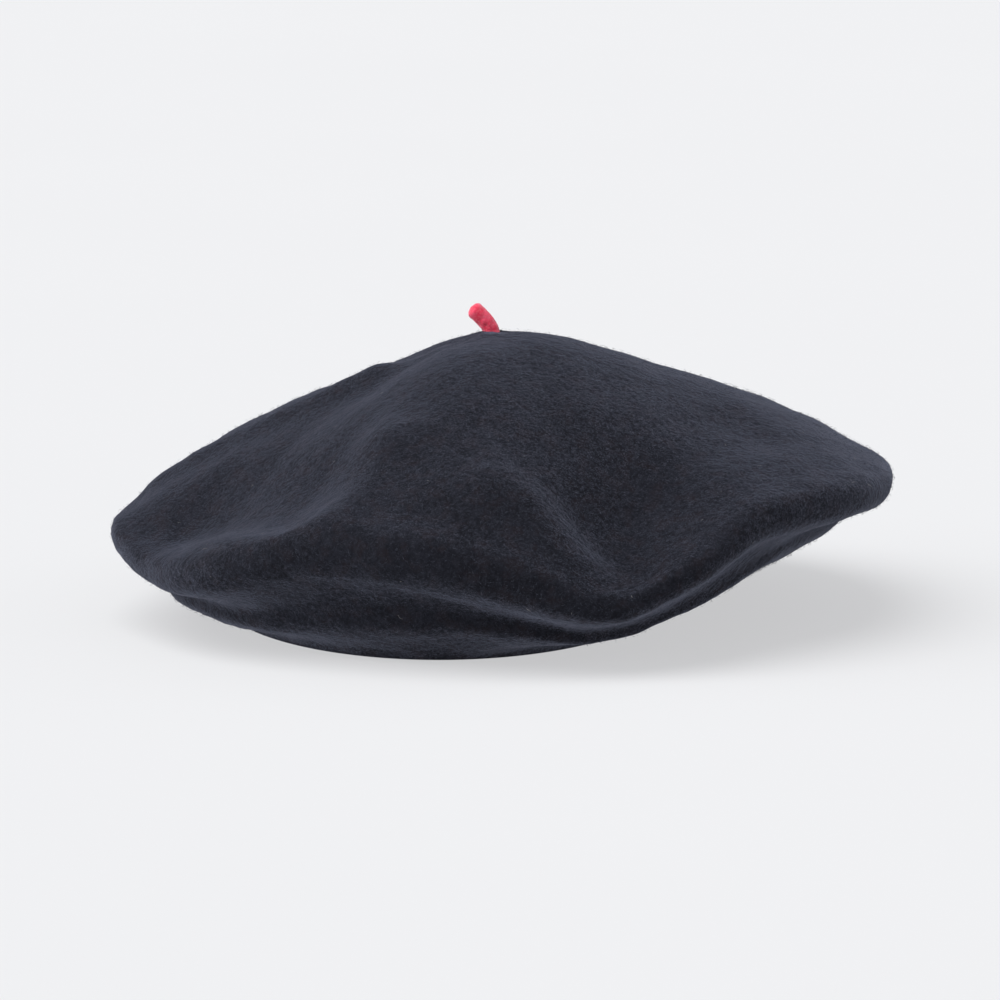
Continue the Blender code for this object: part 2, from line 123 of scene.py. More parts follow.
# Soft ridges and valleys of the crown, each along a line on plan: start x, y, end x, y, half width, lift
FOLDS = (
    (36, -98, 45, -80, 11, -6),
    (47, -91, 74, -38, 18, -6.5),
    (38, -30, 44, -60, 24, -2),
    (-3, -98, 26, -111, 8, 4),
    (78, -97, 56, -108, 9, 3),
    (4, -14, -2, -48, 30, 3),
    (-98, -46, -52, -82, 15, -9),
    (-58, -106, -38, -72, 9, 6),
    (-38, -72, -24, -38, 15, 2),
    (-112, -50, -84, -90, 7, 3),
    (-112, 6, -44, 0, 6.5, 5),
    (-104, 28, -58, 22, 8, -4),
    (-100, 58, -66, 58, 14, 2.5),
    (54, 92, 40, 48, 15, -6),
    (-20, 100, -14, 50, 16, -5),
)

# The inner pieces, mm
LINING_THICKNESS = 0.6
LINING_OFFSET = FELT_THICKNESS + 1.2  # from the felt's outer face to the lining's outer face
BAND_HEIGHT = 28.0
BAND_THICKNESS = 1.2
BAND_OUT = FELT_THICKNESS + GAP + 0.1  # from the opening's outline to the band's outer face
BAND_IN = BAND_OUT + BAND_THICKNESS
BAND_JOIN_AZIMUTH = 90.0
BAND_JOIN_GAP = 0.8
STEM_RADIUS = 2.6
STEM_TIP_RADIUS = 2.8
STEM_END_RADIUS = 2.95  # towards which the stem widens, before its tip is rounded
STEM_ROUNDING = 2.6  # how squarely the stem's tip is rounded, where 2 would be round
STEM_LENGTH = 6.9  # from the pivot to the centre of the round tip
STEM_LEAN = 50.0  # degrees from upright, towards -X
STEM_SIDES = 40
ROOT_RADII = (4.6, 4.8)  # of the stem's inner end, at its foot and just above
ROOT_FLANGE_FOOT = -4.8  # under the felt's outer face at the stem, as is the next
ROOT_STITCH_LEVEL = -4.4
ROOT_STITCH_IN = 4.9  # from the stem's axis to each whipping stitch's two ends
ROOT_STITCH_OUT = 6.6
ROOT_STITCHES = 18
BOW_AZIMUTH = 72.0
BOW_LEVEL = 15.0
BOW_DEPTH = 2.8  # from the sweatband's inner face to the middle of the bow
BOW_HALF_SPAN = 13.0
BOW_DROOP = 1.2  # how far the loops hang down at their ends
BOW_WAIST = 0.55  # half the loops' depth at the knot
BOW_FULLNESS = 1.3  # how much deeper the loops are at their ends
RIBBON_WIDTH = 6.0
RIBBON_THICKNESS = 0.45
RIBBON_CUP = 0.12  # how far the ribbon's edges stand out from its middle
KNOT_HALF_DEPTH = 2.1
KNOT_HALF_HEIGHT = RIBBON_WIDTH / 2 + 1.2
KNOT_WIDTH = 4.0
TAB_AZIMUTH = 112.0
TAB_WIDTH = 18.0
TAB_LEVELS = (13.0, 25.0)
TAB_THICKNESS = 0.5
TAB_CURL = 0.5  # how much further than its top the tab's foot stands off the sweatband
TAB_STITCH_DROP = 1.6  # from the tab's top edge to its stitching
SEAM_RADIUS = 0.5
SEAM_DEPTH = LINING_OFFSET + 0.6
SEAM_RIB = 0.08  # half the height of the ribs round the seam's ridge
SEAM_RIBS = 180
HEM_STITCHES = 150
BAND_HEM_LEVELS = (2.0, 4.0)
LINING_HEM_LEVELS = (25.6, 26.8)
HEM_INSET = BAND_IN + 0.1  # from the opening's outline to the ends of the hems' stitches
TOOLED_LEVELS = (6.2, 23.2)  # of the two lines pressed into the sweatband's inner face
TOOLED_DEPTH = 0.16
TOOLED_HALF_WIDTH = 0.4
JOIN_STITCH_HALF_WIDTH = 2.6
JOIN_STITCH_LEVELS = (6.0, 21.0)
LINING_DROP = 3.0  # how much further down the lining hangs under the stem

# Fine surface
AROUND = 300
DOWN = 150
UNEVENNESS = ((0.22, 22, 3), (0.10, 7, 4), (0.05, 2.4, 5))  # height, wavelength and seed of the felt's bumps
STEM_UNEVENNESS = ((0.09, 2.2, 8), (0.05, 0.9, 9))
SEAM_T = 0.396  # where the lining's seam lies, as a share of the way down the shell
SEAM_CLEAR_T = 0.012  # from there to each lining piece's edge
CORNER_T = (0.45, 0.575)  # the lining cuts across the rim's inside between these
LINING_FOOT_T = 0.875
CROWN_PLEATS = ((17, 0.3), (23, 1.9), (31, 4.0), (43, 2.2))  # number of pleats round the lining, and phase
SIDE_PLEATS = ((29, 0.8), (37, 2.9), (53, 1.1))
NAP_FIBRES = 17000
LINT_FIBRES = 110
FIBRES_START = 3.0  # above the table the felt stands on, so that no fibre reaches through it

# Camera and floor, in metres
VIEW_WIDTH = 0.3335  # of the picture, at the target
VIEW_DISTANCE = 2.0
VIEW_ELEVATION = 9.5  # degrees
VIEW_TARGET = (-0.0005, 0.0, 0.037)
FLOOR_HALF_WIDTH = 9.0
FLOOR_LEVEL = -0.0004


def around(table, azimuth):
    """The table's columns at each azimuth, on a smooth closed curve through its rows."""
    rows = np.array(table, float)
    angle = np.concatenate([rows[-2:, 0] - 360, rows[:, 0], rows[:3, 0] + 360])
    value = np.concatenate([rows[-2:, 1:], rows[:, 1:], rows[:3, 1:]])
    turned = np.mod(azimuth, 360.0)
    i = np.clip(np.searchsorted(angle, turned, side="right") - 1, 1, len(angle) - 3)
    step = (angle[i + 1] - angle[i])[:, None]
    t = (turned - angle[i])[:, None] / step
    slope = (value[i + 1] - value[i - 1]) / (angle[i + 1] - angle[i - 1])[:, None] * step
    next_slope = (value[i + 2] - value[i]) / (angle[i + 2] - angle[i])[:, None] * step
    start = (2 * t**3 - 3 * t**2 + 1) * value[i] + (t**3 - 2 * t**2 + t) * slope
    end = (3 * t**2 - 2 * t**3) * value[i + 1] + (t**3 - t**2) * next_slope
    return (start + end).T


def ring(radius, height, azimuth):
    angle = np.radians(azimuth)
    return np.stack([radius * np.cos(angle), radius * np.sin(angle), height + 0 * angle], axis=-1)


def opening(azimuth, inset=0.0, height=0.0):
    """The opening's oval outline, moved in by inset."""
    angle = np.radians(azimuth)
    half_width = OPENING_HALF_WIDTH + OPENING_EGG * np.sin(angle) - inset
    across = OPENING_CENTRE_X + half_width * np.cos(angle)
    deep = OPENING_CENTRE_Y + (OPENING_HALF_DEPTH - inset) * np.sin(angle)
    return np.stack([across, deep, height + 0 * angle], axis=-1)


def guide_rings(azimuth):
    """The shell's guiding rings, from the stem hole over the rim to the opening."""
    radius, height, roll, fullness, undercut = around(RIM, azimuth)
    waist_radius, waist_height, foot_height = around(WAIST, azimuth)
    broad = CROWN_LEVEL + CROWN_TILT * np.cos(np.radians(azimuth))
    rings = [APEX + ring(STEM_HOLE_RADIUS, 0.0, azimuth)]
    for part in CROWN_STEPS:
        edge = ring(radius, height, azimuth)
        level = broad + (height - broad) * part**CROWN_BLEND + roll
        row = APEX * (1 - part) + edge * part
        row[:, 2] = level + (APEX[2] - level) * (1 - part**fullness)
        rings.append(row)
    rings.append(ring(radius - 0.55 * roll, height + 0.85 * roll, azimuth))
    rings.append(ring(radius + 0.4 * roll, height + 0.6 * roll, azimuth))
    rings.append(ring(radius + 0.4 * roll, height - 0.6 * roll, azimuth))
    rings.append(ring(radius - undercut * roll, height - roll, azimuth))
    rings.append(ring(waist_radius - 1, waist_height + 1, azimuth))
    rings.append(ring(waist_radius, waist_height - 5, azimuth))
    bulge = FOOT_BULGE - FOOT_BULGE_SWING * np.cos(np.radians(azimuth - FOOT_SLACK_AZIMUTH))[:, None]
    foot = opening(azimuth) * (1 - bulge) + ring(waist_radius, 0, azimuth) * bulge
    foot[:, 2] = foot_height
    rings.append(foot)
    rings.append(opening(azimuth, -3, 3.5))
    rings.append(opening(azimuth, -0.5, 1.2))
    rings.append(opening(azimuth))
    return np.array(rings)


def spline_weights(count, t):
    """Weights of a clamped cubic B-spline's guide points at each t in 0 to 1."""
    knots = np.concatenate([np.zeros(3), np.linspace(0, 1, count - 2), np.ones(3)])
    t = np.clip(t, 0, 1 - 1e-9)
    weights = [(t >= a) & (t < b) for a, b in zip(knots[:-1], knots[1:])]
    for degree in (1, 2, 3):
        risen = []
        for i in range(len(weights) - 1):
            up = knots[i + degree] - knots[i]
            down = knots[i + degree + 1] - knots[i + 1]
            value = np.zeros_like(t)
            if up > 0:
                value += (t - knots[i]) / up * weights[i]
            if down > 0:
                value += (knots[i + degree + 1] - t) / down * weights[i + 1]
            risen.append(value)
        weights = risen
    return np.array(weights).T


def eased(value, low, high):
    share = np.clip((value - low) / (high - low), 0, 1)
    return share * share * (3 - 2 * share)


def fold_lift(x, y, fold):
    x0, y0, x1, y1, width, lift = fold
    dx, dy = x1 - x0, y1 - y0
    along = np.clip(((x - x0) * dx + (y - y0) * dy) / (dx * dx + dy * dy), 0, 1)
    away = np.hypot(x - x0 - along * dx, y - y0 - along * dy)
    return lift * np.exp(-0.5 * (away / width) ** 2)


def shell_points(azimuth, t):
    """Points of the felt's outer face in mm, a row for each t: 0 at the stem hole, 1 at the opening."""
    rings = guide_rings(azimuth)
    points = np.einsum("mk,knj->mnj", spline_weights(len(rings), t), rings)
    from_stem = np.hypot(points[..., 0] - APEX[0], points[..., 1] - APEX[1])
    crown = (1 - eased(t, 0.36, 0.50))[:, None] * eased(from_stem, 4, 30)
    points[..., 2] += crown * sum(fold_lift(points[..., 0], points[..., 1], fold) for fold in FOLDS)
    return points


def shell_normals(azimuth, t):
    """Unit normals of the outer face, level at the opening's edge and upright at the stem hole."""
    step = 0.004
    turn = 1.0
    down = shell_points(azimuth, np.clip(t + step, 0, 1)) - shell_points(azimuth, np.clip(t - step, 0, 1))
    side = shell_points(azimuth + turn, t) - shell_points(azimuth - turn, t)
    normal = np.cross(down, side)
    normal[t >= 1 - 1e-6, :, 2] = 0
    normal[t <= 1e-6] = (0, 0, 1)
    return normal / np.linalg.norm(normal, axis=2, keepdims=True)


# ---------------------------------------------------------------- mesh helpers


def full_turn(count):
    return np.arange(count) * 360.0 / count


def add_mesh(name, points_mm, faces, look, uv=None):
    mesh = bpy.data.meshes.new(name)
    mesh.from_pydata((np.asarray(points_mm) * MM).tolist(), [], faces)
    mesh.update()
    mesh.shade_smooth()
    mesh.materials.append(look)
    if uv is not None:
        layer = mesh.uv_layers.new(name="uv")
        index = np.empty(len(mesh.loops), np.int32)
        mesh.loops.foreach_get("vertex_index", index)
        layer.data.foreach_set("uv", np.asarray(uv, np.float32)[index].ravel())
    made = bpy.data.objects.new(name, mesh)
    bpy.context.collection.objects.link(made)
    return made


def grid_faces(rows, columns, first=0, flip=False):
    """Faces between neighbouring rows of a grid of points whose columns close into a ring."""
    i, j = np.meshgrid(np.arange(rows - 1), np.arange(columns), indexing="ij")
    k = (j + 1) % columns
    a, b = first + i * columns, first + (i + 1) * columns
    faces = np.stack([a + j, b + j, b + k, a + k], axis=-1).reshape(-1, 4)
    return (faces[:, ::-1] if flip else faces).tolist()


def skin(name, outer, inner, look, closed_top=False):
    """One closed body between two layers of rings; closed_top fills the first rings with a disc."""
    rows, columns, _ = outer.shape
    points = np.concatenate([outer.reshape(-1, 3), inner.reshape(-1, 3)])
    under = rows * columns
    faces = grid_faces(rows, columns) + grid_faces(rows, columns, under, flip=True)
    last = (rows - 1) * columns
    for j in range(columns):
        k = (j + 1) % columns
        faces.append((last + k, last + j, under + last + j, under + last + k))
        if not closed_top:
            faces.append((j, k, under + k, under + j))
    if closed_top:
        faces.append(tuple(range(columns)))
        faces.append(tuple(range(under + columns - 1, under - 1, -1)))
    return add_mesh(name, points, faces, look)


def unit(vectors):
    return vectors / np.maximum(np.linalg.norm(vectors, axis=-1, keepdims=True), 1e-9)


def ripple(points, wavelength, seed, waves=14):
    """Smooth bumps of about -1 to 1 over points in mm, as a sum of plane waves in many directions."""
    draw = np.random.default_rng(seed)
    ways = unit(draw.normal(size=(waves, 3))) * (2 * math.pi / wavelength)
    ways *= draw.uniform(0.7, 1.4, (waves, 1))
    phases = draw.uniform(0, 2 * math.pi, waves)
    total = np.zeros(points.shape[:-1])
    for way, phase in zip(ways, phases):
        total += np.sin(points @ way + phase)
    return total / math.sqrt(waves)


def ripples(points, table):
    return sum(height * ripple(points, wavelength, seed) for height, wavelength, seed in table)


def tube(centres, radii, sides, closed=False):
    """Points and faces of a tube along centres in mm, closed into a ring or ending in points."""
    centres = np.asarray(centres, float)
    count = len(centres)
    if closed:
        ahead = unit(np.roll(centres, -1, axis=0) - np.roll(centres, 1, axis=0))
    else:
        ahead = unit(np.gradient(centres, axis=0))
    side = np.cross(ahead, (0.0, 0.0, 1.0))
    weak = np.linalg.norm(side, axis=1) < 0.2
    side[weak] = np.cross(ahead[weak], (0.0, 1.0, 0.0))
    side = unit(side)
    up = np.cross(side, ahead)
    angle = np.arange(sides) * 2 * math.pi / sides
    radii = np.broadcast_to(radii, (count,))[:, None, None]
    across, upward = np.cos(angle)[None, :, None], np.sin(angle)[None, :, None]
    around_it = across * side[:, None] + upward * up[:, None]
    points = (centres[:, None] + radii * around_it).reshape(-1, 3)
    if closed:
        rows = np.arange(count)
        a, b = rows * sides, (rows + 1) % count * sides
        j = np.arange(sides)
        k = (j + 1) % sides
        faces = np.stack(
            [a[:, None] + j, a[:, None] + k, b[:, None] + k, b[:, None] + j], axis=-1
        ).reshape(-1, 4)
        return points, faces.tolist()
    faces = grid_faces(count, sides, flip=True)
    faces.append(tuple(range(sides - 1, -1, -1)))
    faces.append(tuple(range((count - 1) * sides, count * sides)))
    return points, faces


def tube_uv(count, sides, turns_along):
    u = np.repeat(np.linspace(0, turns_along, count), sides)
    v = np.tile(np.arange(sides) / sides, count)
    return np.stack([u, v], axis=1)


# ---------------------------------------------------------------- material helpers


class Look:
    """A material being built: a Principled shader with its noise, bump and colour nodes."""

    def __init__(
        self, name, roughness, specular, sheen=0.0, sheen_tint=(1, 1, 1), sheen_roughness=0.4
    ):
        self.material = bpy.data.materials.new(name)
        self.material.use_nodes = True
        self.tree = self.material.node_tree
        self.shader = self.tree.nodes["Principled BSDF"]
        self.shader.inputs["Roughness"].default_value = roughness
        self.shader.inputs["Specular IOR Level"].default_value = specular
        self.shader.inputs["Sheen Weight"].default_value = sheen
        self.shader.inputs["Sheen Tint"].default_value = (*sheen_tint, 1)
        self.shader.inputs["Sheen Roughness"].default_value = sheen_roughness
        self.place = self.node("ShaderNodeTexCoord").outputs["Object"]
        self.normal = None

    def node(self, kind, **settings):
        made = self.tree.nodes.new(kind)
        for key, value in settings.items():
            setattr(made, key, value)
        return made

    def link(self, out, into):
        self.tree.links.new(out, into)

    def stretched(self, scale, turn=(0.0, 0.0, 0.0)):
        mapping = self.node("ShaderNodeMapping")
        mapping.inputs["Scale"].default_value = scale
        mapping.inputs["Rotation"].default_value = turn
        self.link(self.place, mapping.inputs["Vector"])
        return mapping.outputs["Vector"]

    def noise(self, scale, detail=3.0, distortion=0.0, source=None, roughness=0.5):
        made = self.node("ShaderNodeTexNoise")
        made.inputs["Scale"].default_value = scale
        made.inputs["Detail"].default_value = detail
        made.inputs["Roughness"].default_value = roughness
        made.inputs["Distortion"].default_value = distortion
        self.link(source or self.place, made.inputs["Vector"])
        return made.outputs["Fac"]

    def ramp(self, value, low, high, dark=0.0, light=1.0):
        made = self.node("ShaderNodeMapRange", interpolation_type="SMOOTHSTEP")
        for key, number in (("From Min", low), ("From Max", high), ("To Min", dark), ("To Max", light)):
            made.inputs[key].default_value = number
        self.link(value, made.inputs["Value"])
        return made.outputs["Result"]

    def math(self, operation, a, b):
        made = self.node("ShaderNodeMath", operation=operation)
        for socket, value in zip(made.inputs, (a, b)):
            if isinstance(value, (int, float)):
                socket.default_value = value
            else:
                self.link(value, socket)
        return made.outputs["Value"]

    def mix(self, share, first, second):
        """A colour between two, each a colour or another node's output."""
        made = self.node("ShaderNodeMix", data_type="RGBA")
        self.link(share, made.inputs["Factor"])
        for key, value in (("A", first), ("B", second)):
            socket = next(s for s in made.inputs if s.name == key and s.type == "RGBA")
            if isinstance(value, tuple):
                socket.default_value = (*value, 1)
            else:
                self.link(value, socket)
        return next(s for s in made.outputs if s.type == "RGBA")

    def colour(self, out):
        self.link(out, self.shader.inputs["Base Color"])

    def roughness(self, out):
        self.link(out, self.shader.inputs["Roughness"])

    def bump(self, height, strength, distance):
        made = self.node("ShaderNodeBump")
        made.inputs["Strength"].default_value = strength
        made.inputs["Distance"].default_value = distance
        self.link(height, made.inputs["Height"])
        if self.normal is not None:
            self.link(self.normal, made.inputs["Normal"])
        self.normal = made.outputs["Normal"]
        self.link(self.normal, self.shader.inputs["Normal"])


def curls(look, scale, distortion, width, seed):
    """Thin curly lines, as of short wool fibres lying every way, broken up into short lengths."""
    place = look.stretched((1.0, 1.0, 1.0), (seed, 1.7 * seed, 0.6 * seed))
    swirl = look.noise(scale, detail=1.0, distortion=distortion, source=place)
    line = look.ramp(look.math("ABSOLUTE", look.math("SUBTRACT", swirl, 0.5), 0.0), 0.0, width, 1.0, 0.0)
    gaps = look.ramp(look.noise(scale * 1.3, detail=1.0, source=place), 0.46, 0.56)
    return look.math("MULTIPLY", line, gaps)


def felt_look():
    look = Look("navy_felt_nap", 1.0, 0.08, sheen=0.46, sheen_tint=(0.49, 0.53, 0.71), sheen_roughness=0.33)
    broad = look.ramp(look.noise(42.0, detail=2.0), 0.35, 0.65)
    clumps = look.ramp(look.noise(520.0, detail=4.0, roughness=0.65), 0.40, 0.66)
    plum = look.ramp(look.noise(210.0, detail=3.0), 0.46, 0.66)
    ground = look.mix(broad, (0.0060, 0.0062, 0.0092), (0.0084, 0.0090, 0.0132))
    ground = look.mix(plum, ground, (0.0120, 0.0100, 0.0132))
    ground = look.mix(look.math("MULTIPLY", clumps, 0.6), ground, (0.0190, 0.0200, 0.0275))
    lines = look.math(
        "MAXIMUM", curls(look, 430.0, 2.6, 0.022, 0.7), curls(look, 760.0, 2.2, 0.030, 2.3)
    )
    bits = look.ramp(look.noise(1500.0, detail=2.0), 0.60, 0.74)
    fleck = look.math("MAXIMUM", look.math("MULTIPLY", lines, 0.55), look.math("MULTIPLY", bits, 0.45))
    look.colour(look.mix(fleck, ground, (0.050, 0.052, 0.068)))
    look.roughness(look.ramp(clumps, 0.0, 1.0, 0.90, 1.0))
    look.bump(look.noise(170.0, detail=3.0), 0.4, 0.0006)
    look.bump(look.math("ADD", clumps, look.math("MULTIPLY", lines, 1.2)), 0.55, 0.0003)
    return look.material


def fibre_look(name, dark, light, sheen):
    look = Look(name, 0.8, 0.2, sheen=sheen, sheen_tint=(0.7, 0.78, 1.0))
    look.colour(look.mix(look.ramp(look.noise(300.0), 0.35, 0.65), dark, light))
    return look.material


def red_look():
    look = Look("red_felt_stem", 0.9, 0.2, sheen=0.5, sheen_tint=(1.0, 0.75, 0.8), sheen_roughness=0.5)
    patch = look.ramp(look.noise(420.0, detail=4.0), 0.35, 0.66)
    deep = look.mix(patch, (0.82, 0.034, 0.082), (1.0, 0.085, 0.165))
    lines = look.math("MAXIMUM", curls(look, 900.0, 2.4, 0.04, 1.1), curls(look, 1500.0, 2.0, 0.05, 2.9))
    look.colour(look.mix(look.math("MULTIPLY", lines, 0.6), deep, (0.90, 0.30, 0.36)))
    look.bump(look.noise(900.0, detail=3.0), 0.5, 0.0003)
    look.bump(lines, 0.5, 0.0002)
    return look.material


def satin_look():
    look = Look("black_satin_lining", 0.38, 0.5, sheen=0.15)
    weave = look.node("ShaderNodeTexWave", wave_type="BANDS", bands_direction="DIAGONAL")
    weave.inputs["Scale"].default_value = 520.0
    weave.inputs["Distortion"].default_value = 0.8
    weave.inputs["Detail"].default_value = 1.0
    look.link(look.place, weave.inputs["Vector"])
    slub = look.noise(1.0, detail=2.0, source=look.stretched((90.0, 90.0, 1500.0)))
    look.colour(look.mix(look.ramp(slub, 0.3, 0.7), (0.010, 0.010, 0.014), (0.026, 0.026, 0.034)))
    look.roughness(look.ramp(slub, 0.3, 0.7, 0.30, 0.46))
    look.bump(weave.outputs["Fac"], 0.25, 0.0001)
    look.bump(look.noise(60.0, detail=2.0), 0.15, 0.001)
    return look.material


def leather_look():
    look = Look("brown_leather_band", 0.5, 0.45)
    grain = look.node("ShaderNodeTexVoronoi", feature="DISTANCE_TO_EDGE")
    grain.inputs["Scale"].default_value = 750.0
    look.link(look.place, grain.inputs["Vector"])
    cells = look.ramp(grain.outputs["Distance"], 0.0, 0.22)
    tone = look.ramp(look.noise(55.0, detail=3.0), 0.35, 0.68)
    brown = look.mix(tone, (0.070, 0.028, 0.012), (0.150, 0.066, 0.030))
    look.colour(look.mix(cells, (0.030, 0.012, 0.006), brown))
    look.roughness(look.ramp(look.noise(260.0), 0.3, 0.7, 0.38, 0.60))
    look.bump(cells, 0.45, 0.00018)
    look.bump(look.noise(120.0, detail=3.0), 0.25, 0.0008)
    return look.material


def thread_look(name, dark, light):
    """Twisted thread: the strands run slantwise round it, along its UV."""
    look = Look(name, 0.6, 0.35, sheen=0.3)
    coordinates = look.node("ShaderNodeTexCoord").outputs["UV"]
    strands = look.node("ShaderNodeTexWave", wave_type="BANDS", bands_direction="DIAGONAL")
    strands.inputs["Scale"].default_value = 1.0
    strands.inputs["Distortion"].default_value = 0.2
    look.link(coordinates, strands.inputs["Vector"])
    look.colour(look.mix(strands.outputs["Fac"], dark, light))
    look.bump(strands.outputs["Fac"], 0.8, 0.0001)
    look.bump(look.noise(2500.0), 0.3, 0.0001)
    return look.material


def ribbon_look():
    look = Look("black_grosgrain_ribbon", 0.55, 0.35, sheen=0.25)
    coordinates = look.node("ShaderNodeTexCoord").outputs["UV"]
    ribs = look.node("ShaderNodeTexWave", wave_type="BANDS", bands_direction="X")
    ribs.inputs["Scale"].default_value = 1.0
    look.link(coordinates, ribs.inputs["Vector"])
    look.colour(look.mix(ribs.outputs["Fac"], (0.008, 0.008, 0.010), (0.030, 0.030, 0.036)))
    look.bump(ribs.outputs["Fac"], 0.7, 0.00015)
    look.bump(look.noise(1600.0), 0.3, 0.0001)
    return look.material


def label_look():
    look = Look("woven_label", 0.75, 0.3, sheen=0.2)
    weave = look.node("ShaderNodeTexBrick")
    weave.inputs["Scale"].default_value = 900.0
    weave.inputs["Mortar Size"].default_value = 0.08
    look.link(look.place, weave.inputs["Vector"])
    tone = look.ramp(look.noise(400.0), 0.3, 0.7)
    look.colour(look.mix(tone, (0.56, 0.53, 0.46), (0.74, 0.71, 0.64)))
    look.bump(weave.outputs["Fac"], 0.4, 0.0001)
    look.bump(look.noise(150.0), 0.2, 0.0005)
    return look.material


# ---------------------------------------------------------------- the felt and its nap


def felt_surface():
    """The outer face on a fine grid, with the slight unevenness of felt, and its normals."""
    azimuth = full_turn(AROUND)
    t = np.linspace(0, 1, DOWN)
    points = shell_points(azimuth, t)
    normals = shell_normals(azimuth, t)
    uneven = ripples(points, UNEVENNESS) * eased(1 - t, 0.0, 0.06)[:, None]
    return points + normals * uneven[..., None], normals


def felt_piece(surface, look):
    points, normals = surface
    inner = points - normals * FELT_THICKNESS
    inner[-1, :, 2] = 0
    piece = skin("felt_shell", points, inner, look)
    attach(piece, "shell")
    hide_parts("felt_body")


def scatter(surface, count, draw):
    """Random places on the outer face, even by area: points, normals and a direction along the face."""
    points, normals = surface
    right = np.roll(points, -1, axis=1)
    cells = np.linalg.norm(np.cross(right[:-1] - points[:-1], points[1:] - points[:-1]), axis=2).ravel()
    cells = cells * (points[1:, :, 2].ravel() > FIBRES_START)
    pick = draw.choice(len(cells), count, p=cells / cells.sum())
    i, j = np.divmod(pick, points.shape[1])
    k = (j + 1) % points.shape[1]
    u, v = draw.uniform(0, 1, (2, count, 1))

    def between(grid):
        top = grid[i, j] * (1 - u) + grid[i, k] * u
        low = grid[i + 1, j] * (1 - u) + grid[i + 1, k] * u
        return top * (1 - v) + low * v

    at, out = between(points), unit(between(normals))
    along = unit(np.cross(out, draw.normal(size=(count, 3))))
    return at, out, along


def fibres(name, places, lengths, radii, rises, look, draw):
    """Fine tapered fibres, each a closed three-sided sliver bent over towards the face."""
    at, out, along = places
    count = len(at)
    lengths, radii, rises = (np.asarray(x)[:, None] for x in (lengths, radii, rises))
    side = np.cross(out, along)
    veer = draw.normal(0, 0.35, (count, 1))
    root = at - out * 0.15
    middle = at + lengths * 0.5 * (along * np.cos(rises) + out * np.sin(rises))
    tip = middle + lengths * 0.5 * unit(along + side * veer + out * np.sin(rises) * 0.2)
    angle = np.arange(3) * 2 * math.pi / 3
    ring_points = np.cos(angle)[:, None] * side[:, None] + np.sin(angle)[:, None] * out[:, None]
    low = root[:, None] + radii[:, None] * ring_points
    high = middle[:, None] + 0.8 * radii[:, None] * ring_points
    points = np.concatenate([low, high, tip[:, None]], axis=1).reshape(-1, 3)
    pattern = [(2, 1, 0)]
    for j in range(3):
        k = (j + 1) % 3
        pattern += [(j, k, 3 + k), (j, 3 + k, 3 + j), (3 + j, 3 + k, 6)]
    faces = (np.array(pattern)[None] + 7 * np.arange(count)[:, None, None]).reshape(-1, 3)
    piece = add_mesh(name, points, faces.tolist(), look)
    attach(piece, "shell")
    return piece


def nap(surface):
    draw = np.random.default_rng(11)
    look = fibre_look("navy_wool_fibre", (0.012, 0.013, 0.020), (0.050, 0.056, 0.078), 0.25)
    piece = fibres(
        "felt_nap",
        scatter(surface, NAP_FIBRES, draw),
        draw.uniform(0.7, 2.4, NAP_FIBRES),
        draw.uniform(0.03, 0.065, NAP_FIBRES),
        draw.uniform(0.10, 0.95, NAP_FIBRES),
        look,
        draw,
    )


def lint(surface):
    draw = np.random.default_rng(29)
    look = fibre_look("pale_lint", (0.30, 0.28, 0.28), (0.55, 0.52, 0.50), 0.2)
    piece = fibres(
        "felt_lint",
        scatter(surface, LINT_FIBRES, draw),
        draw.uniform(0.8, 2.6, LINT_FIBRES),
        draw.uniform(0.035, 0.06, LINT_FIBRES),
        draw.uniform(0.05, 0.35, LINT_FIBRES),
        look,
        draw,
    )


# ---------------------------------------------------------------- the stem


def stem_line():
    """The stem's middle line: up through the felt, then leaning over as it leaves."""
    pivot = APEX + (0, 0, STEM_PIVOT_RISE)
    lean = math.radians(STEM_LEAN)
    way = np.array((-math.sin(lean), 0, math.cos(lean)))
    foot = APEX + (0, 0, ROOT_FLANGE_FOOT)
    tip = pivot + way * (STEM_LENGTH + STEM_TIP_RADIUS)
    corners = (foot, APEX + (0.4, 0, -1.0), pivot + way * 1.0 + (0.3, 0, 0), tip)
    s = np.linspace(0, 1, 60)[:, None]
    blend = ((1 - s) ** 3, 3 * s * (1 - s) ** 2, 3 * s**2 * (1 - s), s**3)
    return sum(weight * corner for weight, corner in zip(blend, corners)), pivot, way


def stem_piece(look):
    line, pivot, way = stem_line()
    length = np.concatenate([[0], np.cumsum(np.linalg.norm(np.diff(line, axis=0), axis=1))])
    from_tip = length[-1] - length
    widths = (*ROOT_RADII, STEM_RADIUS, STEM_RADIUS, STEM_END_RADIUS)
    radii = np.interp(length, (0, 1.1, 1.5, 4.2, length[-1]), widths)
    short_of_tip = 1 - np.clip(from_tip / STEM_RADIUS, 0, 1)
    radii *= np.sqrt(np.clip(1 - short_of_tip**STEM_ROUNDING, 0.0004, 1))
    points, faces = tube(line, radii, STEM_SIDES)
    around_it = unit(points - np.repeat(line, STEM_SIDES, axis=0))
    points = points + around_it * ripples(points, STEM_UNEVENNESS)[:, None]
    piece = add_mesh("stem_felt", points, faces, look)
    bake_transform(piece)
    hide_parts("stem", "stem_root")


# ---------------------------------------------------------------- the lining and the sweatband


def pleats(azimuth, waves):
    """The linings' soft pleats, about -1 to 1, as an uneven mix of even ones."""
    angle = np.radians(azimuth)
    return sum(np.sin(angle * number + phase) for number, phase in waves) / len(waves)


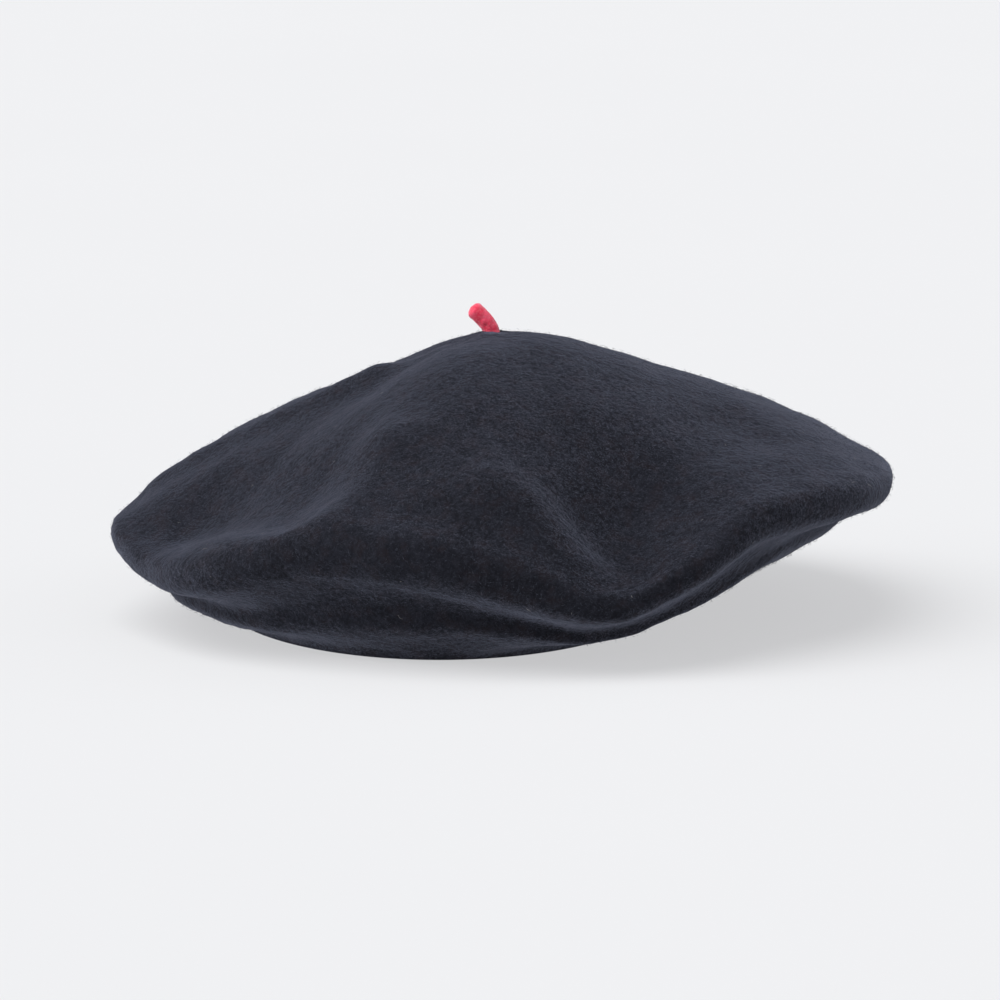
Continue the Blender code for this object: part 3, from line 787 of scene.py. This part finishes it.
def lining_crown_piece(look):
    t = np.linspace(0, SEAM_T - SEAM_CLEAR_T, 70)
    azimuth = full_turn(AROUND)
    points = shell_points(azimuth, t)
    normals = shell_normals(azimuth, t)
    from_stem = np.hypot(points[..., 0] - APEX[0], points[..., 1] - APEX[1]).mean(axis=1)
    depth = LINING_OFFSET + LINING_DROP * (1 - eased(from_stem, 8, 24))
    sag = eased(from_stem, 30, 115)[:, None] * (0.6 + 0.6 * pleats(azimuth, CROWN_PLEATS))[None]
    sag += 0.5 * eased(from_stem, 15, 60)[:, None] * (1 + ripple(points, 45, 14))
    outer = points - normals * (depth[:, None] + sag)[..., None]
    inner = outer - normals * LINING_THICKNESS
    piece = skin("satin_crown_lining", outer, inner, look, closed_top=True)
    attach(piece, "shell")
    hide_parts("lining_crown")


def lining_side_piece(look):
    upper = np.linspace(SEAM_T + SEAM_CLEAR_T, CORNER_T[0], 8)
    lower = np.linspace(CORNER_T[1], LINING_FOOT_T, 50)
    azimuth = full_turn(AROUND)
    t = np.concatenate([upper, lower])
    points = shell_points(azimuth, t)
    normals = shell_normals(azimuth, t)
    folds = pleats(azimuth, SIDE_PLEATS)
    sag = 0.25 * (1 + folds)[None] * eased(1 - np.abs(t - 0.66) / 0.25, 0, 1)[:, None]
    outer = points - normals * (LINING_OFFSET + sag)[..., None]
    inner = outer - normals * LINING_THICKNESS
    piece = skin("satin_side_lining", outer, inner, look)
    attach(piece, "shell")
    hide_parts("lining_side")


def ring_piece(name, node, centres, radius, look, turns, sides=10):
    points, faces = tube(centres, radius, sides, closed=True)
    piece = add_mesh(name, points, faces, look, tube_uv(len(centres), sides, turns))
    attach(piece, "shell")
    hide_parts(node)


def lining_seam_piece(look):
    azimuth = full_turn(720)
    points = shell_points(azimuth, np.array([SEAM_T]))
    normals = shell_normals(azimuth, np.array([SEAM_T]))
    centres = (points - normals * SEAM_DEPTH)[0]
    radius = SEAM_RADIUS + SEAM_RIB * np.sin(np.radians(azimuth) * SEAM_RIBS)
    ring_piece("lining_seam_ridge", "lining_seam", centres, radius, look, 120)


def stitches(name, node, pairs, radius, bulge, look):
    """Separate stitches, each a short round thread that rises out of one hole and dips into the next."""
    points, faces, uv = [], [], []
    for start, end, out in pairs:
        s = np.linspace(0, 1, 9)[:, None]
        rise = np.sin(s * math.pi)
        line = start * (1 - s) + end * s + out * bulge * rise
        ends = radius * np.sqrt(np.clip(1 - (2 * s[:, 0] - 1) ** 8, 0.05, 1))
        some, these = tube(line, ends, 8)
        first = len(points) * len(some)
        faces += [tuple(first + v for v in face) for face in these]
        points.append(some)
        uv.append(tube_uv(9, 8, 3.0))
    piece = add_mesh(name, np.concatenate(points), faces, look, np.concatenate(uv))
    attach(piece, "shell")
    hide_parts(node)


def band_pairs(levels):
    """Zigzag stitches round the sweatband's inner face, between two levels."""
    low, high = levels
    azimuth = full_turn(HEM_STITCHES)
    step = 360.0 / HEM_STITCHES
    into = unit(opening(azimuth, 1.0) - opening(azimuth))
    starts = opening(azimuth + 0.08 * step, HEM_INSET)
    ends = opening(azimuth + 0.92 * step, HEM_INSET)
    up = np.arange(HEM_STITCHES) % 2 == 0
    starts[:, 2] = np.where(up, low, high)
    ends[:, 2] = np.where(up, high, low)
    return zip(starts, ends, into)


def band_shape(azimuth):
    """The sweatband's slight waviness: how far it leans in at its top."""
    angle = np.radians(azimuth)
    return 0.35 * np.sin(5 * angle + 0.4) + 0.25 * np.sin(9 * angle + 2.0)


def sweatband_piece(look):
    turn = math.degrees(BAND_JOIN_GAP / OPENING_HALF_WIDTH)
    start = BAND_JOIN_AZIMUTH + turn / 2
    azimuth = np.linspace(start, start + 360 - turn, 420)
    rounding = BAND_THICKNESS / 2
    levels = [rounding + (BAND_HEIGHT - 2 * rounding) * s for s in np.linspace(0, 1, 12)]
    face = [(BAND_OUT + 0.02, level) for level in levels]
    for a in np.linspace(0, math.pi, 7)[1:-1]:
        face.append((BAND_OUT + rounding * (1 - math.cos(a)), levels[-1] + rounding * math.sin(a)))
    face += [(BAND_IN, level) for level in reversed(levels)]
    face += [(BAND_IN, 0.1), (BAND_IN - 0.1, 0.0), (BAND_OUT + 0.1, 0.0), (BAND_OUT, 0.1)]
    lean = band_shape(azimuth)
    section = []
    for inset, level in face:
        tooled = 0.0
        if inset >= BAND_IN - 0.01:
            tooled = -TOOLED_DEPTH * sum(
                math.exp(-((level - line) / TOOLED_HALF_WIDTH) ** 2) for line in reversed(TOOLED_LEVELS)
            )
        ring_points = opening(azimuth, 0.0, level)
        into = unit(opening(azimuth, 1.0) - opening(azimuth))
        section.append(ring_points + into * (inset + tooled + lean * eased(level, 6, BAND_HEIGHT))[:, None])
    section = np.array(section).transpose(1, 0, 2)
    rows, columns, _ = section.shape
    faces = grid_faces(rows, columns)
    faces.append(tuple(range(columns)))
    faces.append(tuple(range(rows * columns - 1, (rows - 1) * columns - 1, -1)))
    piece = add_mesh("leather_sweatband", section.reshape(-1, 3), faces, look)
    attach(piece, "shell")
    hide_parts("sweatband")


def flat_loop(name, node, slot, route, width, thickness, across, look, ribs):
    """A closed band of ribbon along route, with rounded edges and a slight cup across its width."""
    route = np.asarray(route, float)
    across = np.asarray(across, float)
    ahead = np.roll(route, -1, axis=0) - np.roll(route, 1, axis=0)
    out = unit(np.cross(ahead, across))
    spots = np.linspace(-1, 1, 9)
    section = [(s, thickness / 2 * (1 - 0.5 * abs(s) ** 6)) for s in spots]
    section += [(s, -thickness / 2 * (1 - 0.5 * abs(s) ** 6)) for s in reversed(spots)]
    points = np.stack(
        [route + across * width / 2 * s + out * (lift + RIBBON_CUP * s * s) for s, lift in section], axis=1
    )
    count, sides, _ = points.shape
    faces = []
    for i in range(count):
        n = (i + 1) % count
        for j in range(sides):
            k = (j + 1) % sides
            faces.append((i * sides + j, n * sides + j, n * sides + k, i * sides + k))
    uv = np.stack(
        [np.repeat(np.arange(count) * ribs / count, sides), np.tile([s for s, _ in section], count)], axis=1
    )
    piece = add_mesh(name, points.reshape(-1, 3), faces, look, uv)
    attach(piece, "shell")
    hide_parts(node)


def bow_point(aside, depth, height=0.0):
    """A point aside along the sweatband, depth from its inner face and height above the bow's middle."""
    turn = math.degrees(aside / OPENING_HALF_WIDTH)
    return opening(np.array([BOW_AZIMUTH + turn]), BAND_IN + depth, BOW_LEVEL + height)[0]


def bow_ribbon_piece(look):
    route = []
    for angle in np.radians(full_turn(160)):
        swell = BOW_WAIST + BOW_FULLNESS * abs(math.cos(angle)) ** 0.8
        droop = -BOW_DROOP * abs(math.cos(angle)) ** 2
        route.append(bow_point(BOW_HALF_SPAN * math.cos(angle), BOW_DEPTH + swell * math.sin(angle), droop))
    upright = (0.0, 0.0, 1.0)
    size = (RIBBON_WIDTH, RIBBON_THICKNESS)
    flat_loop("ribbon_bow_loops", "bow_ribbon", "ribbon", route, *size, upright, look, 90)


def squared(value):
    """Pushes a sine or cosine out towards a rounded square."""
    return math.copysign(math.sqrt(abs(value)), value)


def bow_knot_piece(look):
    route = []
    for angle in np.radians(full_turn(64)):
        depth = BOW_DEPTH + KNOT_HALF_DEPTH * squared(math.cos(angle))
        route.append(bow_point(0.0, depth, KNOT_HALF_HEIGHT * squared(math.sin(angle))))
    along = unit(bow_point(1.0, BOW_DEPTH) - bow_point(-1.0, BOW_DEPTH))
    size = (KNOT_WIDTH, RIBBON_THICKNESS)
    flat_loop("ribbon_bow_knot", "bow_knot", "ribbon", route, *size, along, look, 26)


def size_tab_piece(look):
    """A blank woven tape folded double at its foot, its two layers sewn on along their tops."""
    half_turn = math.degrees(TAB_WIDTH / 2 / OPENING_HALF_DEPTH)
    azimuth = np.linspace(TAB_AZIMUTH - half_turn, TAB_AZIMUTH + half_turn, 25)
    low, high = TAB_LEVELS
    middle = BAND_IN + GAP + TAB_THICKNESS / 2
    apart, half_thick = 0.16, 0.09  # between the fold's middle and each layer, and half a layer
    outside, inside = [], []
    for s in np.linspace(0, 1, 14):
        level = high - (high - low - apart) * s
        outside.append((-apart - half_thick, level))
        inside.append((-apart + half_thick, level))
    for a in np.linspace(0, math.pi, 9)[1:-1]:
        for line, reach in ((outside, apart + half_thick), (inside, apart - half_thick)):
            line.append((-reach * math.cos(a), low + apart + half_thick - reach * math.sin(a)))
    for s in np.linspace(0, 1, 14):
        level = low + apart + (high - low - apart) * s
        outside.append((apart + half_thick, level))
        inside.append((apart - half_thick, level))
    rows = []
    for inset, level in outside + inside[::-1]:
        curl = TAB_CURL * eased(high - level, 4, high - low)
        rows.append(opening(azimuth, middle + inset + curl, level))
    points = np.array(rows).transpose(1, 0, 2)
    count, sides, _ = points.shape
    faces = grid_faces(count, sides)
    first = (count - 1) * sides
    for a in range(len(outside) - 1):
        b = sides - 1 - a
        faces.append((a, a + 1, b - 1, b))
        faces.append((first + b, first + b - 1, first + a + 1, first + a))
    piece = add_mesh("blank_size_tab", points.reshape(-1, 3), faces, look)
    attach(piece, "shell")
    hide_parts("size_tab")


def tab_pairs():
    half_turn = math.degrees(TAB_WIDTH / 2 / OPENING_HALF_DEPTH) - 1
    azimuth = np.linspace(TAB_AZIMUTH - half_turn, TAB_AZIMUTH + half_turn, 10)
    into = unit(opening(azimuth, 1.0) - opening(azimuth))
    inset = BAND_IN + 1.0
    level = TAB_LEVELS[1] - TAB_STITCH_DROP
    starts = opening(azimuth[:-1], inset, level)
    ends = opening(azimuth[:-1] * 0.35 + azimuth[1:] * 0.65, inset, level)
    return zip(starts, ends, into)


def join_pairs():
    """Lacing over the sweatband's join, from side to side on the way up."""
    side = math.degrees(JOIN_STITCH_HALF_WIDTH / OPENING_HALF_WIDTH)
    middle = np.array([BAND_JOIN_AZIMUTH])
    into = unit(opening(middle, 1.0) - opening(middle))[0]
    for level in np.linspace(*JOIN_STITCH_LEVELS, 7):
        left = opening(np.array([BAND_JOIN_AZIMUTH + side]), BAND_IN + 0.3, level)[0]
        right = opening(np.array([BAND_JOIN_AZIMUTH - side]), BAND_IN + 0.3, level + 1.4)[0]
        yield left, right, into
        low_left = left + (0, 0, 1.5)
        low_right = right - (0, 0, 1.3)
        yield low_right, low_left, into


def stem_ring_pairs():
    """Whipping stitches round the stem's inner end."""
    for azimuth in full_turn(ROOT_STITCHES):
        turned = np.array([azimuth])
        near_it = (APEX + ring(ROOT_STITCH_IN, ROOT_STITCH_LEVEL - 0.1, turned))[0]
        off = (APEX + ring(ROOT_STITCH_OUT, ROOT_STITCH_LEVEL + 0.25, turned + 8))[0]
        yield near_it, off, np.array((0.0, 0.0, -1.0))


# ---------------------------------------------------------------- floor, light and camera


def floor():
    look = Look("pale_floor", 1.0, 0.0)
    tone = look.ramp(look.noise(3.0, detail=2.0), 0.2, 0.8)
    look.colour(look.mix(tone, (0.268, 0.270, 0.272), (0.272, 0.274, 0.276)))
    look.shader.inputs["Emission Color"].default_value = (0.985, 0.985, 1.0, 1)
    look.shader.inputs["Emission Strength"].default_value = 0.545
    mesh = bpy.data.meshes.new("studio_floor")
    ways = ((-1, -1), (1, -1), (1, 1), (-1, 1))
    corners = [(x * FLOOR_HALF_WIDTH, y * FLOOR_HALF_WIDTH, FLOOR_LEVEL) for x, y in ways]
    mesh.from_pydata(corners, [], [(0, 1, 2, 3)])
    mesh.materials.append(look.material)
    made = bpy.data.objects.new("studio_floor", mesh)
    bpy.context.collection.objects.link(made)


def world():
    """A pale backdrop for the camera, and a dimmer, bluer one that lights the beret."""
    made = bpy.data.worlds.new("studio")
    bpy.context.scene.world = made
    made.use_nodes = True
    tree = made.node_tree
    seen = tree.nodes["Background"]
    seen.inputs["Color"].default_value = (0.88, 0.88, 0.896, 1)
    seen.inputs["Strength"].default_value = 1.0
    lighting = tree.nodes.new("ShaderNodeBackground")
    lighting.inputs["Color"].default_value = (0.92, 0.94, 1.0, 1)
    lighting.inputs["Strength"].default_value = 0.38
    path = tree.nodes.new("ShaderNodeLightPath")
    mix = tree.nodes.new("ShaderNodeMixShader")
    tree.links.new(path.outputs["Is Camera Ray"], mix.inputs["Fac"])
    tree.links.new(lighting.outputs["Background"], mix.inputs[1])
    tree.links.new(seen.outputs["Background"], mix.inputs[2])
    tree.links.new(mix.outputs["Shader"], tree.nodes["World Output"].inputs["Surface"])


def sun(name, way, strength, softness, colour=(1.0, 1.0, 1.0)):
    light = bpy.data.lights.new(name, "SUN")
    light.energy = strength
    light.angle = math.radians(softness)
    light.color = colour
    made = bpy.data.objects.new(name, light)
    made.rotation_euler = (-Vector(way)).to_track_quat("-Z", "Y").to_euler()
    bpy.context.collection.objects.link(made)


def lights():
    sun("key_light", (-0.42, -0.25, 1.0), 2.75, 60)
    sun("left_light", (-1.0, -0.05, 0.08), 2.2, 45, (0.94, 0.97, 1.0))
    sun("right_light", (1.0, 0.3, 0.15), 0.6, 50, (0.94, 0.97, 1.0))


def camera():
    """Looks along +Y and slightly down at the beret, from far off through a long lens."""
    lens = bpy.data.cameras.new("camera")
    made = bpy.data.objects.new("camera", lens)
    bpy.context.collection.objects.link(made)
    elevation = math.radians(VIEW_ELEVATION)
    lens.sensor_width = 36.0
    lens.lens = lens.sensor_width * VIEW_DISTANCE / VIEW_WIDTH
    back = Vector((0.0, -math.cos(elevation), math.sin(elevation)))
    made.location = Vector(VIEW_TARGET) + back * VIEW_DISTANCE
    made.rotation_euler = (-back).to_track_quat("-Z", "Y").to_euler()
    bpy.context.scene.camera = made


def build():
    camera()
    surface = felt_surface()
    felt_piece(surface, felt_look())
    nap(surface)
    lint(surface)
    stem_piece(red_look())
    satin = satin_look()
    lining_crown_piece(satin)
    lining_side_piece(satin)
    lining_seam_piece(thread_look("satin_piping", (0.012, 0.012, 0.016), (0.035, 0.035, 0.045)))
    leather = leather_look()
    sweatband_piece(leather)
    cotton = thread_look("navy_cotton_thread", (0.016, 0.018, 0.034), (0.060, 0.066, 0.110))
    band_hem = band_pairs(BAND_HEM_LEVELS)
    lining_hem = band_pairs(LINING_HEM_LEVELS)
    stitches("band_hem_stitches", "sweatband_stitching", band_hem, 0.24, 0.45, cotton)
    stitches("lining_hem_stitches", "lining_stitching", lining_hem, 0.22, 0.45, cotton)
    stitches("band_join_stitches", "sweatband_join_stitching", join_pairs(), 0.28, 0.4, cotton)
    stitches("stem_root_stitches", "stem_stitching", stem_ring_pairs(), 0.28, 0.3, cotton)
    ribbon = ribbon_look()
    bow_ribbon_piece(ribbon)
    bow_knot_piece(ribbon)
    size_tab_piece(label_look())
    stitches("tab_stitches", "size_tab_stitching", tab_pairs(), 0.16, 0.35, cotton)
    floor()
    world()
    lights()
    bpy.context.scene.view_settings.view_transform = "Standard"


build()
